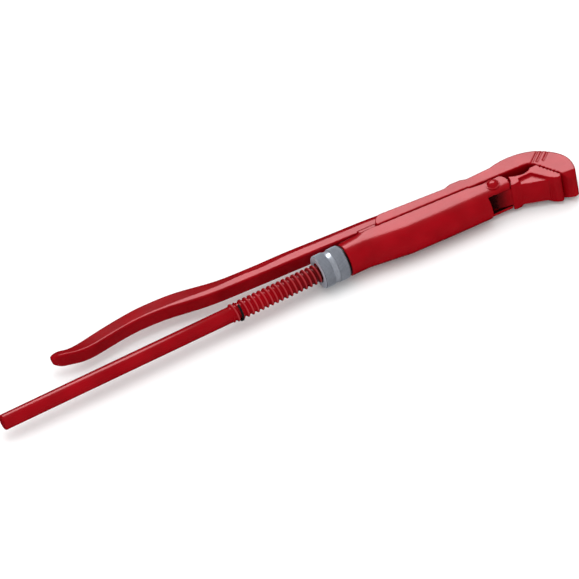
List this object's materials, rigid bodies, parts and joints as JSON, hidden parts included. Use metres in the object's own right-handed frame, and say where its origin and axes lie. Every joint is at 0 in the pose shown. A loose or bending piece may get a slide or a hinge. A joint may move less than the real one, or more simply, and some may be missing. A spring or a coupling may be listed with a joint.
{
  "type": "pipe wrench",
  "caption": "Corner-jaw pipe wrench: hooked fixed lever, pressed housing with a riveted lower jaw, threaded handle rod and knurled adjusting nut.",
  "frame": {"origin": "middle of the closed bite, on the wrench's middle plane", "axes": "+X along the threaded rod towards the jaws, +Y towards the back of the fixed lever, +Z square to the flat side plates"},
  "size_m": [0.5571, 0.0917, 0.037],
  "materials": {
    "enamel": "gloss red enamel over forged and pressed steel",
    "zinc": "bright zinc plating over a diamond knurl",
    "steel": "plain turned steel",
    "spring_steel": "blackened spring steel"
  },
  "bodies": {
    "lever": {"fixed_lever": "enamel", "hinge_pin": "steel"},
    "housing": {"housing_shell": "enamel", "jaw_rivet": "enamel"},
    "jaw": {"lower_jaw": "enamel", "leaf_spring": "spring_steel", "spring_rivet": "steel"},
    "rod": {"handle_rod": "enamel", "stop_clip": "spring_steel"},
    "washer": {"thrust_washer": "spring_steel"},
    "nut": {"adjusting_nut": "zinc"}
  },
  "joints": [
    {"name": "housing_slide", "type": "slide", "parent": "lever", "child": "housing", "axis": [1, 0, 0], "range_m": [-0.0775, 0]},
    {"name": "jaw_rock", "type": "hinge", "parent": "housing", "child": "jaw", "pos_m": [-0.05, 0.0122, 0], "axis": [0, 0, 1], "range_deg": [-4, 0], "stiffness_Nm_per_rad": 6, "springref_deg": 1.72},
    {"name": "rod_swing", "type": "hinge", "parent": "lever", "child": "rod", "pos_m": [-0.163, 0.0205, 0], "axis": [0, 0, 1], "range_deg": [-1, 1.5]},
    {"name": "washer_slide", "type": "slide", "parent": "rod", "child": "washer", "axis": [1, 0, 0], "range_m": [-0.078, 0.0005]},
    {"name": "nut_spin", "type": "hinge", "parent": "washer", "child": "nut", "pos_m": [-0.21, 0.0205, 0], "axis": [1, 0, 0], "range_deg": [-5850, 30]}
  ],
  "couplings": [
    {"joint": "washer_slide", "follows": "housing_slide", "ratio": 1},
    {"joint": "nut_spin", "follows": "housing_slide", "rad_per_m": 1309}
  ]
}
